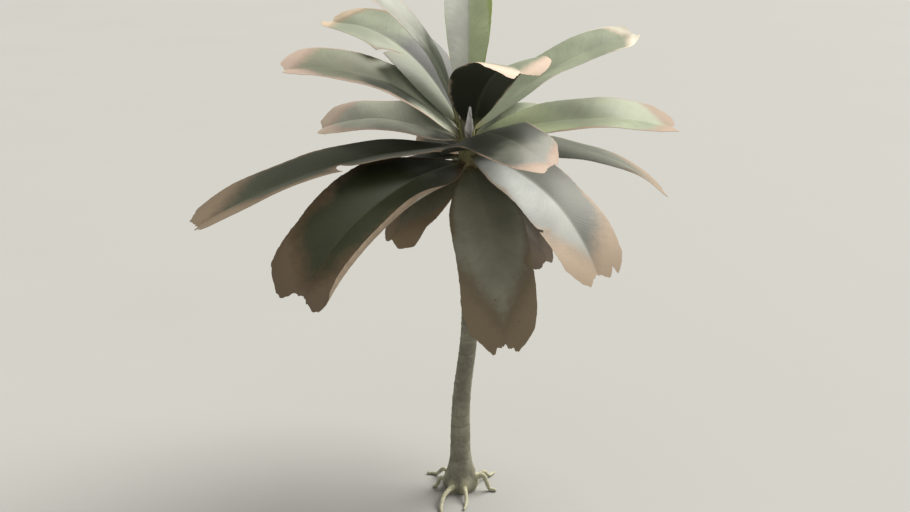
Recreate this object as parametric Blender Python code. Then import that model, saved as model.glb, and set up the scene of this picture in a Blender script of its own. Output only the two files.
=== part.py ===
"""A small understorey palm, rooted in the ground.

One slim, gently bent stem carries a crown of broad undivided leaves. Each leaf is a stiff strap with a
strong rib, narrow where it leaves the stem and blunt, with a shallow notch, at its end. The oldest leaves
hang, the next ones droop, those above spread and rise, and a rolled spear leaf stands in the heart. Short
thick roots leave the swollen foot of the stem and come down to the ground round it.

Metres and degrees, +Z up. The origin is the middle of the flat cut under the stem, at ground level.
Azimuths are counted from +X towards +Y, and -Y is the side that the plant is seen from.
"""

import itertools
import math

import bmesh
import bpy
import numpy as np

# ---------------------------------------------------------------- driving dimensions

CLEARANCE = 0.0005  # gap between a leaf or a root and the stem that carries it

STEM_TOP = 1.290
STEM_SIDES = 24
STEM_RINGS = 34
# The stem's bend: how far its middle line stands off the vertical, at each of these heights.
STEM_BEND_HEIGHTS = (0.0, 0.32, 0.57, 0.90, STEM_TOP)
STEM_BEND_OFFSETS = (0.0, 0.001, 0.027, 0.024, 0.018)
# The stem's radius: a swollen foot, a long slow taper, and the narrower part that carries the leaves.
STEM_RADIUS_HEIGHTS = (0.0, 0.025, 0.065, 0.110, 0.20, 0.38, 0.80, 1.10, STEM_TOP)
STEM_RADII = (0.053, 0.055, 0.046, 0.037, 0.033, 0.029, 0.028, 0.027, 0.022)

PETIOLE_WIDTH = 0.020
RIB_THICKNESS = 0.013  # at the leaf's foot, where it is a stalk
BLADE_THICKNESS_SHARE = 0.0105  # of the leaf's length
STALK_SHARE = 0.25  # of its length, over which the thick stalk narrows to a rib
RIB_END_SHARE = 0.91  # where the rib has sunk into the blade
OPENING_BLUNTNESS = 1.8  # how quickly the wedge at the foot of the blade widens at first
END_SHARE = 0.74  # where the blade starts to narrow again
NOTCH_SPAN = 0.42  # of the half width, how wide the notch in its end is
CORNER_START = 0.45  # of the half width, where the end starts to round off
LEAF_STATIONS = 13
LEAF_COLUMNS = 4

ROOT_STATIONS = 10
ROUND_RESOLUTION = 2  # of a rolled or round curve's bevel, which gives it 8 sides


def leaf(azimuth, foot, rise, fall, length, width=0.235, **more):
    """The values that place and shape one leaf.

    foot is the height where it leaves the stem. It starts at rise degrees above the horizon and turns down
    by fall degrees over its length, the more towards its end the greater late is. roll turns the blade
    about its rib, and twist turns it further towards the end. sway bends the rib sideways. fold lifts the
    two halves to a gutter, and arch lets their margins down again. The blade has its full width at the
    share opened of its length, loses the share taper of it towards the end, and is shorter by notch in the
    middle of its end and by corner at its sides.
    """
    made = dict(late=1.4, roll=0.0, twist=0.0, sway=0.0, fold=16.0, arch=0.10)
    made.update(opened=0.40, taper=0.26, notch=0.05, corner=0.10)
    made.update(azimuth=azimuth, foot=foot, rise=rise, fall=fall, length=length, width=width)
    made.update(more)
    return made


LEAVES = {
    # the oldest leaves, hanging round the stem
    "hanging_leaf_1": leaf(283, 1.122, -8, 68, 0.67, 0.230, late=0.8, fold=-6, arch=0.05, taper=0.52),
    "hanging_leaf_2": leaf(207, 1.110, -22, 46, 0.33, 0.225, fold=-5),
    "hanging_leaf_3": leaf(326, 1.098, -28, 38, 0.375, 0.200, fold=-8),
    "hanging_leaf_4": leaf(78, 1.132, -14, 52, 0.54, 0.210),
    "hanging_leaf_5": leaf(118, 1.112, -20, 36, 0.42, 0.200, fold=-5),
    "hanging_leaf_6": leaf(20, 1.114, -26, 40, 0.38, 0.180, fold=-5),
    # drooping leaves
    "drooping_leaf_1": leaf(200, 1.188, 0, 31, 0.87, 0.235, roll=-2, opened=0.32, notch=0.015, corner=0.05),
    "drooping_leaf_2": leaf(226, 1.137, -1, 61, 0.76, 0.316, roll=-12, sway=-9, taper=0.12),
    "drooping_leaf_3": leaf(312, 1.160, 2, 66, 0.65, 0.236, late=1.2, roll=8, fold=8),
    "drooping_leaf_4": leaf(13, 1.166, 6, 52, 0.69, 0.185, roll=8, opened=0.36, fold=6, notch=0.0),
    "drooping_leaf_5": leaf(57, 1.152, -3, 56, 0.52, 0.210),
    "drooping_leaf_6": leaf(98, 1.165, 5, 50, 0.60, 0.225),
    "drooping_leaf_7": leaf(158, 1.150, -10, 52, 0.56, 0.220),
    # spreading leaves
    "spreading_leaf_1": leaf(
        280, 1.184, 33, 70, 0.52, 0.225, roll=18, twist=-10, sway=60, opened=0.12, fold=4, notch=0.02
    ),
    "spreading_leaf_2": leaf(8, 1.208, 14, 31, 0.65, 0.210, roll=16, notch=0.0, corner=0.10),
    "spreading_leaf_3": leaf(166, 1.206, 19, 44, 0.47, 0.190, roll=-20, notch=0.0, corner=0.08),
    "spreading_leaf_4": leaf(50, 1.185, 16, 38, 0.56, 0.210),
    "spreading_leaf_5": leaf(128, 1.188, 18, 44, 0.54, 0.210),
    # rising leaves
    "rising_leaf_1": leaf(190, 1.222, 45, 56, 0.60, 0.210, roll=-22, twist=8, notch=0.0, corner=0.08),
    "rising_leaf_2": leaf(150, 1.250, 58, 68, 0.59, 0.240, roll=-10, notch=0.0, corner=0.07),
    "rising_leaf_3": leaf(18, 1.238, 40, 34, 0.60, 0.190, twist=16, notch=0.0, corner=0.08),
    "rising_leaf_4": leaf(292, 1.252, 62, 78, 0.48, 0.230),
    "rising_leaf_5": leaf(70, 1.207, 30, 40, 0.48, 0.200),
    "rising_leaf_6": leaf(113, 1.226, 36, 42, 0.52, 0.200),
    # upright leaves
    "upright_leaf_1": leaf(88, 1.265, 80, 10, 0.60, 0.165, fold=28, opened=0.60),
    "upright_leaf_2": leaf(186, 1.270, 75, 66, 0.62, 0.170, roll=-14, fold=10, opened=0.55),
}


def rolled_leaf(azimuth, foot, rise, length, radius, bend=0.0):
    """The values of a new leaf that is still rolled up. bend turns it upright by so many degrees."""
    return dict(azimuth=azimuth, foot=foot, rise=rise, length=length, radius=radius, bend=bend)


ROLLED_LEAVES = {
    "spear_leaf": rolled_leaf(150, STEM_TOP, 90, 0.15, 0.0120, bend=8),
    "young_leaf": rolled_leaf(274, 1.222, 50, 0.120, 0.0135, bend=22),
}
ROLLED_STATIONS = 7


def root(azimuth, height, reach, radius, arch=0.012, sway=0.0):
    """The values of one root.

    It leaves the foot of the stem at this height, arches a little, and comes down to lie on the ground,
    where it ends reach metres from the stem's middle. sway turns it aside by so many degrees.
    """
    return dict(azimuth=azimuth, height=height, reach=reach, radius=radius, arch=arch, sway=sway)


ROOTS = {
    "root_1": root(344, 0.050, 0.125, 0.0105, arch=0.020),
    "root_2": root(281, 0.024, 0.165, 0.0080, arch=0.004, sway=-8),
    "root_3": root(240, 0.026, 0.235, 0.0090, arch=0.006, sway=18),
    "root_4": root(182, 0.034, 0.096, 0.0085, arch=0.012),
    "root_5": root(128, 0.030, 0.150, 0.0090, sway=14),
    "root_6": root(82, 0.040, 0.125, 0.0100, sway=-10),
    "root_7": root(32, 0.026, 0.155, 0.0085, sway=9),
}
ROOT_TAPER = 0.55  # the share of its radius that a root loses towards its tip
ROOT_LEVEL = 0.12  # the share of its length over which it leaves the stem level
ROOT_LANDING = 0.70  # the share of its length at which it has reached the ground

# ---------------------------------------------------------------- colours

LEAF_COLOUR = (0.155, 0.180, 0.125)
STEM_COLOUR = (0.185, 0.175, 0.135)
ROOT_COLOUR = (0.260, 0.260, 0.170)


def clear_scene():
    for obj in list(bpy.data.objects):
        bpy.data.objects.remove(obj)


def material(name, colour, roughness):
    made = bpy.data.materials.new(name)
    made.use_nodes = True
    shader = made.node_tree.nodes["Principled BSDF"]
    shader.inputs["Base Color"].default_value = (*colour, 1.0)
    shader.inputs["Roughness"].default_value = roughness
    made.diffuse_color = (*colour, 1.0)
    return made


def smooth_step(value):
    value = np.clip(value, 0.0, 1.0)
    return value * value * (3.0 - 2.0 * value)


def through(heights, values, z):
    """A smooth curve through values at heights, read at z."""
    heights, values = np.array(heights), np.array(values)
    slopes = np.gradient(values, heights)
    i = int(np.clip(np.searchsorted(heights, z) - 1, 0, len(heights) - 2))
    span = heights[i + 1] - heights[i]
    s = (z - heights[i]) / span
    return (
        (2 * s**3 - 3 * s**2 + 1) * values[i]
        + (s**3 - 2 * s**2 + s) * span * slopes[i]
        + (3 * s**2 - 2 * s**3) * values[i + 1]
        + (s**3 - s**2) * span * slopes[i + 1]
    )


def stem_centre(z):
    return np.array((through(STEM_BEND_HEIGHTS, STEM_BEND_OFFSETS, z), 0.0, z))


def stem_radius(z):
    return float(np.interp(z, STEM_RADIUS_HEIGHTS, STEM_RADII))


# ---------------------------------------------------------------- leaves


class Rib:
    """The curved line of a leaf's rib, with the directions along it, across the blade and out of it."""

    SAMPLES = 65
    FIRST_FACE = 3  # the sample in the middle of the first row of faces, which turns the cut end

    def __init__(self, spec):
        t = np.linspace(0.0, 1.0, self.SAMPLES)
        slope = np.radians(spec["rise"] - spec["fall"] * t ** spec["late"])
        heading = np.radians(spec["azimuth"] + spec["sway"] * t * t)
        along = np.stack(
            (np.cos(slope) * np.cos(heading), np.cos(slope) * np.sin(heading), np.sin(slope)), axis=1
        )
        steps = (along[1:] + along[:-1]) / 2 * spec["length"] / (self.SAMPLES - 1)
        across = np.stack((-np.sin(heading), np.cos(heading), np.zeros_like(t)), axis=1)
        out = np.cross(along, across)
        roll = np.radians(spec["roll"] + spec["twist"] * t)[:, None]
        self.t = t
        self.across = across * np.cos(roll) + out * np.sin(roll)
        self.out = out * np.cos(roll) - across * np.sin(roll)
        self.points = self.foot(spec) + np.vstack((np.zeros(3), np.cumsum(steps, axis=0)))

    def foot(self, spec):
        """Where the middle of the stalk's cut end stands, with its edge just clear of the round stem."""
        heading = math.radians(spec["azimuth"])
        away = np.array((math.cos(heading), math.sin(heading), 0.0))
        beside = np.array((-math.sin(heading), math.cos(heading), 0.0))
        reach = 0.0
        shares = (-0.5, -0.25, 0.0, 0.25, 0.5)
        for u, v in itertools.product(shares, shares):
            edge = self.across[0] * u * PETIOLE_WIDTH + self.out[self.FIRST_FACE] * v * RIB_THICKNESS
            clear_radius = stem_radius(spec["foot"] + edge[2]) + CLEARANCE
            reach = max(reach, math.sqrt(clear_radius**2 - (edge @ beside) ** 2) - edge @ away)
        return stem_centre(spec["foot"]) + away * reach

    def read(self, rows, t):
        return np.array([np.interp(t, self.t, rows[:, k]) for k in range(3)])


def opened_share(spec, t):
    """How far the wedge-shaped foot of the blade has opened at t along the leaf, from 0 to 1."""
    return 1.0 - max(0.0, 1.0 - t / spec["opened"]) ** OPENING_BLUNTNESS


def half_width(spec, t):
    narrowed = 1.0 - spec["taper"] * max(0.0, (t - END_SHARE) / (1.0 - END_SHARE)) ** 2
    return (PETIOLE_WIDTH + (spec["width"] - PETIOLE_WIDTH) * opened_share(spec, t) * narrowed) / 2


def end_of(spec, u):
    """How far along the leaf the line at u across it runs: short at the notch and at the corners."""
    notch = spec["notch"] * max(0.0, 1.0 - abs(u) / NOTCH_SPAN)
    corner = spec["corner"] * max(0.0, (abs(u) - CORNER_START) / (1.0 - CORNER_START)) ** 2
    return 1.0 - notch - corner


def blade_point(spec, rib, u, t):
    """The point of the leaf's middle surface at u across it, from -1 to 1, and t along it, from 0 to 1."""
    t = t * end_of(spec, u)
    half = half_width(spec, t)
    fold = math.radians(spec["fold"])
    lift = half * opened_share(spec, t) * (abs(u) * math.sin(fold) - spec["arch"] * u * u)
    return (
        rib.read(rib.points, t)
        + rib.read(rib.across, t) * u * half * math.cos(fold)
        + rib.read(rib.out, t) * lift
    )


def make_leaf(name, spec, finish):
    """A thin closed blade: a grid laid on the leaf's surface and given its thickness, most at the rib."""
    rib = Rib(spec)
    bm = bmesh.new()
    bmesh.ops.create_grid(bm, x_segments=LEAF_STATIONS, y_segments=LEAF_COLUMNS, size=0.5)
    weights = {}
    for vert in bm.verts:
        t, u = vert.co.x + 0.5, vert.co.y * 2.0
        vert.co = blade_point(spec, rib, u, t)
        beside_rib = 1.0 - abs(u) * min(1.0, t / STALK_SHARE)
        weights[vert.index] = max(0.0, 1.0 - t / RIB_END_SHARE) * beside_rib
    mesh = bpy.data.meshes.new(name)
    bm.to_mesh(mesh)
    bm.free()
    mesh.materials.append(finish)
    obj = bpy.data.objects.new(name, mesh)
    bpy.context.scene.collection.objects.link(obj)
    stalk = obj.vertex_groups.new(name="stalk")
    for index, weight in weights.items():
        stalk.add([index], weight, "REPLACE")
    blade_thickness = BLADE_THICKNESS_SHARE * spec["length"]
    solidify = obj.modifiers.new("thickness", "SOLIDIFY")
    solidify.thickness = RIB_THICKNESS
    solidify.offset = 0.0
    solidify.vertex_group = stalk.name
    solidify.thickness_vertex_group = blade_thickness / RIB_THICKNESS
    return obj


# ---------------------------------------------------------------- stem, roots and spear leaf


def make_stem(finish):
    """The stem: a disc drawn up along the bent middle line, ring by ring, to its full height."""
    bm = bmesh.new()
    made = bmesh.ops.create_circle(bm, segments=STEM_SIDES, radius=stem_radius(0.0), cap_ends=True)
    foot = made["verts"][0].link_faces[0]
    foot.normal_flip()
    cap = foot
    for ring in range(1, STEM_RINGS + 1):
        share = ring / STEM_RINGS
        z = STEM_TOP * (0.3 * share + 0.7 * share**2)
        cap = bmesh.ops.extrude_discrete_faces(bm, faces=[cap])["faces"][0]
        for number, vert in enumerate(cap.verts):
            angle = -2 * math.pi * number / STEM_SIDES
            spoke = np.array((math.cos(angle), math.sin(angle), 0.0))
            vert.co = stem_centre(z) + spoke * stem_radius(z)
    bmesh.ops.holes_fill(bm, edges=bm.edges)
    bmesh.ops.recalc_face_normals(bm, faces=bm.faces)
    mesh = bpy.data.meshes.new("stem")
    bm.to_mesh(mesh)
    bm.free()
    mesh.materials.append(finish)
    mesh.shade_smooth()
    mesh.set_sharp_from_angle(angle=math.radians(50))
    obj = bpy.data.objects.new("stem", mesh)
    bpy.context.scene.collection.objects.link(obj)
    return obj


def make_round(name, points, radii, finish):
    """A solid round bar along a line of points, with its own radius at each."""
    curve = bpy.data.curves.new(name, "CURVE")
    curve.dimensions = "3D"
    curve.bevel_depth = 1.0
    curve.bevel_resolution = ROUND_RESOLUTION
    curve.use_fill_caps = True
    spline = curve.splines.new("POLY")
    spline.points.add(len(points) - 1)
    for point, place, radius in zip(spline.points, points, radii):
        point.co = (*place, 1.0)
        point.radius = radius
    curve.materials.append(finish)
    obj = bpy.data.objects.new(name, curve)
    bpy.context.scene.collection.objects.link(obj)
    return obj


def make_rolled_leaf(name, spec, finish):
    """A leaf rolled to a slim point, on the end of the stem or, where its foot is lower, on its side."""
    shares = np.linspace(0.0, 1.0, ROLLED_STATIONS)
    heading = math.radians(spec["azimuth"])
    away = np.array((math.cos(heading), math.sin(heading), 0.0))
    slopes = np.radians(spec["rise"] + spec["bend"] * shares)
    radii = spec["radius"] * np.interp(shares, (0.0, 0.3, 1.0), (0.75, 1.0, 0.25))
    place = stem_centre(spec["foot"])
    if spec["foot"] < STEM_TOP:
        lean = radii[0] * math.sin(slopes[0])
        place = place + away * (stem_radius(spec["foot"]) + CLEARANCE + lean)
    else:
        place = place + np.array((0.0, 0.0, CLEARANCE))
    points = []
    for slope in slopes:
        points.append(place)
        step = away * math.cos(slope) + np.array((0.0, 0.0, math.sin(slope)))
        place = place + step * spec["length"] / (ROLLED_STATIONS - 1)
    return make_round(name, points, radii, finish)


def make_root(name, spec, finish):
    """A root: out from the swollen foot, over a low arch, and down along the ground to its tip."""
    low_edge = spec["height"] - spec["radius"]
    start = max(stem_radius(z) for z in np.linspace(low_edge, spec["height"], 5)) + CLEARANCE
    shares = np.linspace(0.0, 1.0, ROOT_STATIONS)
    radii = spec["radius"] * (1.0 - ROOT_TAPER * shares)
    points = []
    for share, radius in zip(shares, radii):
        heading = math.radians(spec["azimuth"] + spec["sway"] * share**2)
        reach = start + (spec["reach"] - start) * share
        way_down = min(1.0, max(0.0, share - ROOT_LEVEL) / (ROOT_LANDING - ROOT_LEVEL))
        landed = smooth_step(way_down)
        arch = spec["arch"] * math.sin(math.pi * way_down) ** 2
        z = spec["height"] * (1.0 - landed) + (radius + CLEARANCE) * landed + arch
        points.append((reach * math.cos(heading), reach * math.sin(heading), z))
    return make_round(name, points, radii, finish)


def main():
    clear_scene()
    leaf_finish = material("leaf", LEAF_COLOUR, 0.55)
    stem_finish = material("stem", STEM_COLOUR, 0.8)
    root_finish = material("root", ROOT_COLOUR, 0.8)
    make_stem(stem_finish)
    for name, spec in ROOTS.items():
        make_root(name, spec, root_finish)
    for name, spec in LEAVES.items():
        make_leaf(name, spec, leaf_finish)
    for name, spec in ROLLED_LEAVES.items():
        make_rolled_leaf(name, spec, leaf_finish)


main()
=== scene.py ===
"""The looks of a small understorey palm: bark, roots and thin waxy leaves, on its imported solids.

Metres and degrees, +Z up. The origin is the middle of the stem's foot, at ground level. Azimuths are counted
from +X towards +Y, and -Y is the side that the plant is seen from.
"""

import itertools
import math

import bmesh
import bpy
import numpy as np
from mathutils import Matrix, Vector, noise


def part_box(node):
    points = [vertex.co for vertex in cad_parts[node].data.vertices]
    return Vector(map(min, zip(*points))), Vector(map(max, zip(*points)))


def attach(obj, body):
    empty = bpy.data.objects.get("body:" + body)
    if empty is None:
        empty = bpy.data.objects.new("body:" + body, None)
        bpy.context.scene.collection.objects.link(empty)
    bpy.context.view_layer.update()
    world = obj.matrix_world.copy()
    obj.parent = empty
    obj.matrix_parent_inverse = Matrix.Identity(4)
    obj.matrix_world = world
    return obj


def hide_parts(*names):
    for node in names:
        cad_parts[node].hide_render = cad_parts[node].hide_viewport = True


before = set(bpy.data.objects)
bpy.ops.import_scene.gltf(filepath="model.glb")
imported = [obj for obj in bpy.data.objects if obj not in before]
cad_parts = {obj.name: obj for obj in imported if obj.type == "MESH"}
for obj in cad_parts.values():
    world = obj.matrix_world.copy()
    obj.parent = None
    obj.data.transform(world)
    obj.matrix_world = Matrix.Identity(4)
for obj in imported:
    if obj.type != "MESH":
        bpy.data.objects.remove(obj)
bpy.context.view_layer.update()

# ---------------------------------------------------------------- stem
# The palm's one woody stem: grey-olive bark, ringed by the scars of leaves long fallen, on a swollen foot
# that rises into a lobe over each root. It is one closed skin, wrapped round the bent middle line.

CLEARANCE = 0.0005  # between the stem and what it carries
STEM_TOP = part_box("stem")[1].z
STEM_SIDES = 84
STEM_RINGS = 560
# The stem's bend: how far its middle line stands off the vertical, at each of these heights.
STEM_BEND_HEIGHTS = (0.0, 0.32, 0.57, 0.90, STEM_TOP)
STEM_BEND_OFFSETS = (0.0, 0.001, 0.027, 0.024, 0.018)
STEM_RADIUS_HEIGHTS = (0.0, 0.025, 0.065, 0.110, 0.20, 0.38, 0.80, 1.10, STEM_TOP)
STEM_RADII = (0.053, 0.055, 0.046, 0.037, 0.033, 0.029, 0.028, 0.027, 0.022)

SCARS_FROM = 0.115  # height of the lowest leaf scar that still shows
SCARS_TO = 1.10
SCAR_SPACING = (0.034, 0.019)  # between scars, at the foot and below the leaves
SCAR_TILT = 0.0035  # how far a scar runs up and down round the stem
SCAR_GROOVE = 0.0009  # how deep
SCAR_WIDTH = 0.0022
SCAR_LIP = 0.0010  # the stem's swelling just below a scar
SCAR_LIP_DROP = 0.006
SCAR_LIP_WIDTH = 0.0045
BARK_LUMPS = 0.0010
LUMP_SCALE = 38.0
FINE_LUMP_SCALE = 95.0
BARK_CRACKS = 0.0005
CRACK_SCALE = 210.0  # across the cracks, which run up the stem
CRACK_LENGTH_SCALE = 26.0
BARK_READ_AT = 0.030  # the radius at which the bark's lumps and cracks are read, however thick the stem
BARK_RELIEF_RANGE = 0.002  # the relief that counts as full height or full depth for its colour
LOBE_HEIGHT = 0.006  # how far the foot stands out over each root
LOBE_WIDTH = 0.40  # radians
LOBE_FADE = 0.035  # over this height above its root a lobe dies away
LOBE_RISE = 0.020  # over this height above the ground the lobes come up

BARK_COLOUR = (0.300, 0.292, 0.226)
BARK_SHADE = (0.190, 0.180, 0.138)
BARK_PALE = (0.390, 0.380, 0.315)
FOOT_COLOUR = (0.400, 0.385, 0.265)
SCAR_COLOUR = (0.150, 0.128, 0.090)
# Painted shade: the bark is painted darker between these heights, where the crown shades it.
CROWN_SHADE_HEIGHTS = (0.55, 0.85)  # heights between which the bark turns darker, under the crown


def root(azimuth, height, reach, radius, arch=0.012, sway=0.0):
    """The values of one root, from this height on the stem's foot to its end on the ground at reach."""
    return dict(azimuth=azimuth, height=height, reach=reach, radius=radius, arch=arch, sway=sway)


ROOTS = {
    "root_1": root(344, 0.050, 0.125, 0.0105, arch=0.020),
    "root_2": root(281, 0.024, 0.165, 0.0080, arch=0.004, sway=-8),
    "root_3": root(240, 0.026, 0.235, 0.0090, arch=0.006, sway=18),
    "root_4": root(182, 0.034, 0.096, 0.0085, arch=0.012),
    "root_5": root(128, 0.030, 0.150, 0.0090, sway=14),
    "root_6": root(82, 0.040, 0.125, 0.0100, sway=-10),
    "root_7": root(32, 0.026, 0.155, 0.0085, sway=9),
}


def between(ends, share):
    """The number at this share of the way from the first of two ends to the second."""
    return ends[0] + (ends[1] - ends[0]) * share


def smooth_step(value):
    """An even rise from 0 to 1 that starts and ends level."""
    value = np.clip(value, 0.0, 1.0)
    return value * value * (3.0 - 2.0 * value)


def through(places, values, at):
    """A smooth curve through values at places, read at each number of at."""
    places, values, at = np.array(places), np.array(values), np.asarray(at, float)
    slopes = np.gradient(values, places)
    i = np.clip(np.searchsorted(places, at) - 1, 0, len(places) - 2)
    span = places[i + 1] - places[i]
    s = (at - places[i]) / span
    return (
        (2 * s**3 - 3 * s**2 + 1) * values[i]
        + (s**3 - 2 * s**2 + s) * span * slopes[i]
        + (3 * s**2 - 2 * s**3) * values[i + 1]
        + (s**3 - s**2) * span * slopes[i + 1]
    )


def stem_centre(z):
    """The point of the stem's middle line at height z."""
    z = np.asarray(z, float)
    return np.stack((through(STEM_BEND_HEIGHTS, STEM_BEND_OFFSETS, z), z * 0.0, z), axis=-1)


def stem_radius(z):
    """The solid stem's radius at height z."""
    return np.interp(z, STEM_RADIUS_HEIGHTS, STEM_RADII)


def leaf_scars():
    """Each scar's height, tilt, the azimuth that it tilts to and depth, closer together up the stem."""
    dice = np.random.default_rng(11)
    z, scars = SCARS_FROM, []
    while z < SCARS_TO:
        tilt, azimuth = SCAR_TILT * dice.uniform(0.2, 1.0), dice.uniform(-math.pi, math.pi)
        scars.append((z, tilt, azimuth, dice.uniform(0.4, 1.0)))
        share = (z - SCARS_FROM) / (SCARS_TO - SCARS_FROM)
        z += between(SCAR_SPACING, share) * dice.uniform(0.7, 1.3)
    return scars


def wrap_stem(share, angle):
    """The stem's skin at this share of its height and this azimuth, with what the bark's colour follows."""
    z = STEM_TOP * share
    spoke = np.stack((np.cos(angle), np.sin(angle), z * 0.0), axis=-1)
    radius = through(STEM_RADIUS_HEIGHTS, STEM_RADII, z)
    scarred = np.zeros_like(z)
    relief = np.zeros_like(z)
    for height, tilt, azimuth, depth in leaf_scars():
        above = z - height - tilt * np.cos(angle - azimuth)
        groove = depth * np.exp(-((above / SCAR_WIDTH) ** 2))
        lip = depth * np.exp(-(((above + SCAR_LIP_DROP) / SCAR_LIP_WIDTH) ** 2))
        relief += SCAR_LIP * lip - SCAR_GROOVE * groove
        scarred = np.maximum(scarred, groove)
    rooty = np.zeros_like(z)
    for spec in ROOTS.values():
        aside = (angle - math.radians(spec["azimuth"]) + math.pi) % (2 * math.pi) - math.pi
        above_root = np.maximum(z - spec["height"], 0)
        near = np.exp(-((aside / LOBE_WIDTH) ** 2)) * np.exp(-((above_root / LOBE_FADE) ** 2))
        rooty = np.maximum(rooty, near)
    relief += LOBE_HEIGHT * rooty * smooth_step(z / LOBE_RISE)
    for i, (x, y, _) in enumerate(spoke * BARK_READ_AT):
        spot = Vector((x, y, z[i]))
        lumps = noise.noise(spot * LUMP_SCALE) + 0.5 * noise.noise(spot * FINE_LUMP_SCALE)
        crack_spot = Vector((x * CRACK_SCALE, y * CRACK_SCALE, z[i] * CRACK_LENGTH_SCALE))
        beside_crack = min(1.0, abs(noise.noise(crack_spot)) * 5.0)
        relief[i] += BARK_LUMPS * lumps - BARK_CRACKS * (1.0 - beside_crack)
    points = stem_centre(z) + spoke * (radius + relief)[:, None]
    return points, np.stack((scarred, rooty, np.clip(relief / BARK_RELIEF_RANGE, -1, 1)), axis=-1)


def round_skin(name, rings, sides, wrap, mark):
    """A closed round piece: a grid wrapped round by wrap(share, angle), its seam merged and its ends filled.

    wrap gives each point and three numbers about it, which stay on the mesh as the attribute mark.
    """
    bm = bmesh.new()
    bmesh.ops.create_grid(bm, x_segments=rings, y_segments=sides, size=0.5)
    layer = bm.verts.layers.float_vector.new(mark)
    grid = np.array([vert.co for vert in bm.verts], float)
    points, marks = wrap(grid[:, 0] + 0.5, grid[:, 1] * 2 * math.pi)
    for vert, point, numbers in zip(bm.verts, points, marks):
        vert.co = point
        vert[layer] = numbers
    bmesh.ops.remove_doubles(bm, verts=bm.verts, dist=0.000002)
    bmesh.ops.holes_fill(bm, edges=bm.edges)
    bmesh.ops.recalc_face_normals(bm, faces=bm.faces)
    return finished_mesh(name, bm)


def finished_mesh(name, bm, sharp_over=60.0):
    """An object of the bmesh's shape, shaded smooth but for its sharp edges."""
    mesh = bpy.data.meshes.new(name)
    bm.to_mesh(mesh)
    bm.free()
    mesh.shade_smooth()
    mesh.set_sharp_from_angle(angle=math.radians(sharp_over))
    obj = bpy.data.objects.new(name, mesh)
    bpy.context.scene.collection.objects.link(obj)
    return obj


class Finish:
    """A material being made: its node tree, and short ways to add the nodes that these finishes use."""

    def __init__(self, name, **settings):
        self.material = bpy.data.materials.new(name)
        self.material.use_nodes = True
        self.nodes = self.material.node_tree.nodes
        self.shader = self.nodes["Principled BSDF"]
        for socket, value in settings.items():
            self.shader.inputs[socket.replace("_", " ")].default_value = value

    def feed(self, socket, value):
        """Links a node's output to the socket, or sets a colour or a number on it."""
        if isinstance(value, bpy.types.NodeSocket):
            self.material.node_tree.links.new(value, socket)
        elif isinstance(value, tuple) and len(value) == 3 and socket.type == "RGBA":
            socket.default_value = (*value, 1.0)
        else:
            socket.default_value = value

    def place(self, stretch=(1.0, 1.0, 1.0), shift=(0.0, 0.0, 0.0), of=None):
        """Object coordinates, or those given, stretched and shifted."""
        node = self.nodes.new("ShaderNodeMapping")
        self.feed(node.inputs["Vector"], of or self.nodes.new("ShaderNodeTexCoord").outputs["Object"])
        node.inputs["Scale"].default_value = stretch
        node.inputs["Location"].default_value = shift
        return node.outputs["Vector"]

    def parts(self, vector):
        """The three numbers of a vector."""
        node = self.nodes.new("ShaderNodeSeparateXYZ")
        self.feed(node.inputs[0], vector)
        return node.outputs["X"], node.outputs["Y"], node.outputs["Z"]

    def mark(self, name):
        """The three numbers that a mesh attribute holds."""
        node = self.nodes.new("ShaderNodeAttribute")
        node.attribute_name = name
        return self.parts(node.outputs["Vector"])

    def together(self, x, y, z=0.0):
        """A vector of three numbers."""
        node = self.nodes.new("ShaderNodeCombineXYZ")
        for socket, value in zip(node.inputs, (x, y, z)):
            self.feed(socket, value)
        return node.outputs["Vector"]

    def cloud(self, place, scale, detail=3.0, rough=0.55):
        """Soft noise from 0 to 1."""
        node = self.nodes.new("ShaderNodeTexNoise")
        self.feed(node.inputs["Vector"], place)
        node.inputs["Scale"].default_value = scale
        node.inputs["Detail"].default_value = detail
        node.inputs["Roughness"].default_value = rough
        return node.outputs["Fac"]

    def ease(self, value, low, high, to_low=0.0, to_high=1.0):
        """value brought smoothly from low..high to to_low..to_high."""
        node = self.nodes.new("ShaderNodeMapRange")
        node.interpolation_type = "SMOOTHSTEP"
        self.feed(node.inputs["Value"], value)
        for name, number in zip(("From Min", "From Max", "To Min", "To Max"), (low, high, to_low, to_high)):
            node.inputs[name].default_value = number
        return node.outputs["Result"]

    def reckon(self, kind, first, second=0.0):
        """A Math node of this kind."""
        node = self.nodes.new("ShaderNodeMath")
        node.operation = kind
        self.feed(node.inputs[0], first)
        self.feed(node.inputs[1], second)
        return node.outputs[0]

    def blend(self, share, first, second):
        """The first colour turned into the second by share, from 0 to 1."""
        node = self.nodes.new("ShaderNodeMix")
        node.data_type = "RGBA"
        self.feed(node.inputs[0], share)
        self.feed(node.inputs[6], first)
        self.feed(node.inputs[7], second)
        return node.outputs[2]

    def bump(self, height, distance, strength=1.0, under=None):
        """Fine relief, on top of the relief under it."""
        node = self.nodes.new("ShaderNodeBump")
        self.feed(node.inputs["Height"], height)
        node.inputs["Distance"].default_value = distance
        node.inputs["Strength"].default_value = strength
        if under is not None:
            self.feed(node.inputs["Normal"], under)
        return node.outputs["Normal"]

    def done(self, colour, roughness, normal):
        """The finished material."""
        self.feed(self.shader.inputs["Base Color"], colour)
        self.feed(self.shader.inputs["Roughness"], roughness)
        self.feed(self.shader.inputs["Normal"], normal)
        return self.material


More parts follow.
